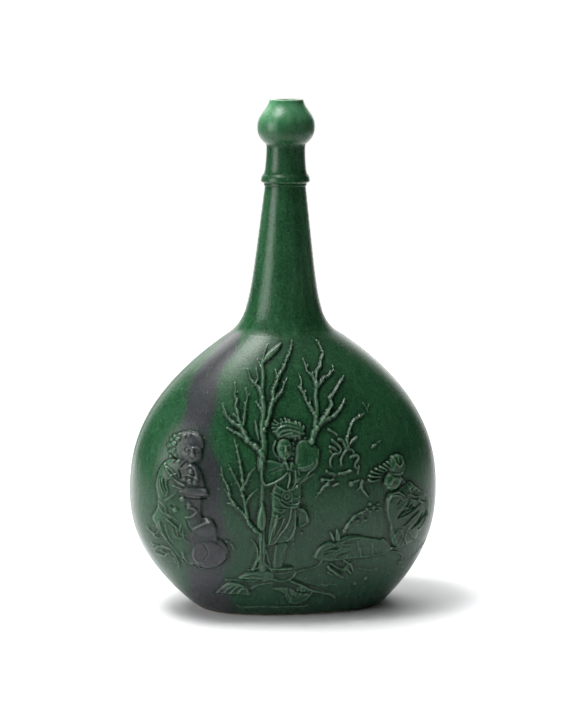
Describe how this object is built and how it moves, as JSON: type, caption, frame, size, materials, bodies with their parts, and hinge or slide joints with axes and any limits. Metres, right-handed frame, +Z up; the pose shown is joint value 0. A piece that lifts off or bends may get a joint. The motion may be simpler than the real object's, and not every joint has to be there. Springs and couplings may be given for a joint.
{
  "type": "bottle",
  "caption": "Flattened moulded ceramic bottle with a long tapering neck, a collar and a garlic-head mouth, for pouring or display.",
  "frame": {"origin": "middle of the body's outline, on the surface that the foot stands on", "axes": "+Z up to the mouth, +X to the right of someone who faces the relief, -Y towards that person"},
  "size_m": [0.201, 0.128, 0.33],
  "materials": {
    "green_glaze": "glossy dark green glaze with fine pits and a purple-black run",
    "foot_glaze": "thin dark green glaze, bare on the foot rim",
    "bare_stonepaste": "unglazed, matt"
  },
  "bodies": {
    "root": {"front_shell": "green_glaze", "rear_shell": "green_glaze", "base_slab": "foot_glaze", "base_seam_coil": "bare_stonepaste", "left_seam_coil": "bare_stonepaste", "right_seam_coil": "bare_stonepaste", "shoulder_seam_coil": "bare_stonepaste", "lower_neck": "green_glaze", "upper_neck": "green_glaze", "collar_ring": "green_glaze", "mouth_bulb": "green_glaze"}
  },
  "joints": []
}
